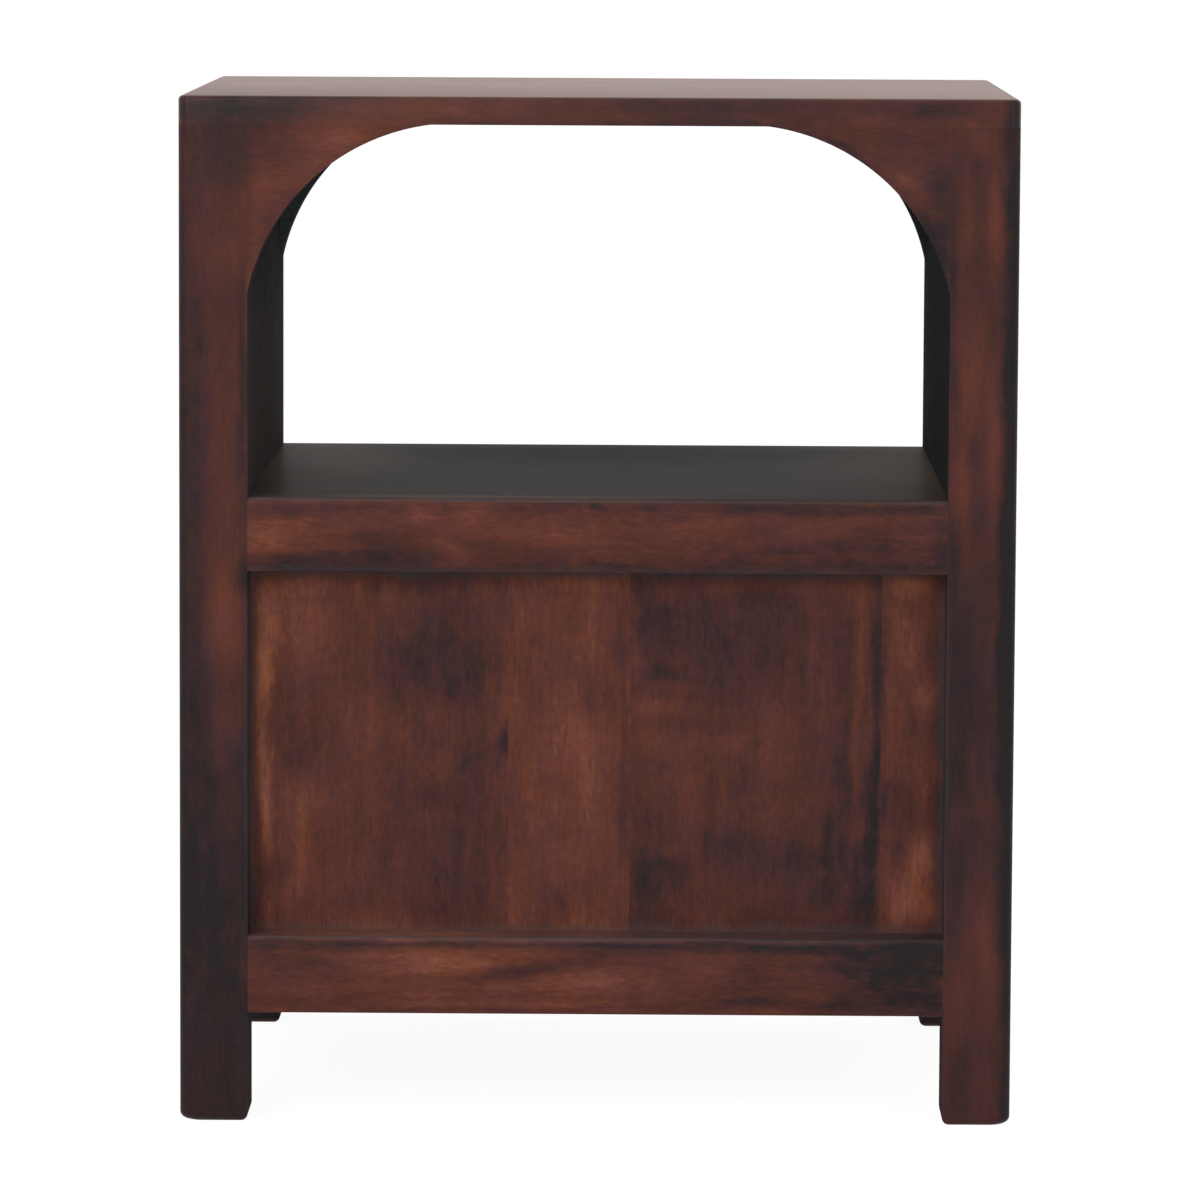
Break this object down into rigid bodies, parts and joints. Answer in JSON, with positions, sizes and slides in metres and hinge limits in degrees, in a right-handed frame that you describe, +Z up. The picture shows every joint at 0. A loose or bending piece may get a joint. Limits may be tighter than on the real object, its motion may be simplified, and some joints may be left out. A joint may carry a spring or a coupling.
{
  "type": "nightstand",
  "caption": "Small square-legged nightstand of dark stained wood, with an open arched shelf that goes right through above inset drawers that slide out to the front.",
  "frame": {"origin": "on the floor, under the middle of the whole object's box, knobs included", "axes": "+X across the width, the drawers open towards -Y, +Z up; the closed back panel faces +Y"},
  "size_m": [0.45, 0.375, 0.555],
  "materials": {
    "frame_wood": "dark chestnut stain under satin lacquer, grain along each board",
    "top_wood": "dark chestnut stain under satin lacquer, glued boards with the grain across the width",
    "panel_wood": "chestnut stain under satin lacquer, upright staves of mixed figure",
    "drawer_wood": "bare light hardwood, planed and unfinished",
    "bolt_steel": "bright zinc plate"
  },
  "bodies": {
    "case": {"top_board": "top_wood", "leg_front_left": "frame_wood", "leg_front_right": "frame_wood", "leg_rear_left": "frame_wood", "leg_rear_right": "frame_wood", "arch_bracket_front_left": "frame_wood", "arch_bracket_front_right": "frame_wood", "arch_bracket_rear_left": "frame_wood", "arch_bracket_rear_right": "frame_wood", "mid_rail_front": "frame_wood", "mid_rail_rear": "frame_wood", "bottom_rail_front": "frame_wood", "bottom_rail_rear": "frame_wood", "bottom_rail_left": "frame_wood", "bottom_rail_right": "frame_wood", "top_rail_left": "frame_wood", "top_rail_right": "frame_wood", "divider_rail": "frame_wood", "side_panel_left": "panel_wood", "side_panel_right": "panel_wood", "back_stave_1": "panel_wood", "back_stave_2": "panel_wood", "back_stave_3": "panel_wood", "back_stave_4": "panel_wood", "shelf_board": "top_wood", "floor_board": "drawer_wood", "runner_left": "drawer_wood", "runner_right": "drawer_wood", "shelf_bearer_left": "drawer_wood", "shelf_bearer_right": "drawer_wood", "floor_cleat_left": "drawer_wood", "floor_cleat_right": "drawer_wood", "drawer_stops": "drawer_wood", "frame_dowels": "drawer_wood", "strip_screws": "bolt_steel"},
    "upper_drawer": {"upper_drawer_front": "panel_wood", "upper_drawer_side_left": "drawer_wood", "upper_drawer_side_right": "drawer_wood", "upper_drawer_back": "drawer_wood", "upper_drawer_bottom": "drawer_wood", "upper_knob": "frame_wood", "upper_knob_bolt": "bolt_steel"},
    "lower_drawer": {"lower_drawer_front": "panel_wood", "lower_drawer_side_left": "drawer_wood", "lower_drawer_side_right": "drawer_wood", "lower_drawer_back": "drawer_wood", "lower_drawer_bottom": "drawer_wood", "lower_knob": "frame_wood", "lower_knob_bolt": "bolt_steel"}
  },
  "joints": [
    {"name": "upper_drawer_slide", "type": "slide", "parent": "case", "child": "upper_drawer", "axis": [0, -1, 0], "range_m": [0, 0.24]},
    {"name": "lower_drawer_slide", "type": "slide", "parent": "case", "child": "lower_drawer", "axis": [0, -1, 0], "range_m": [0, 0.24]}
  ]
}
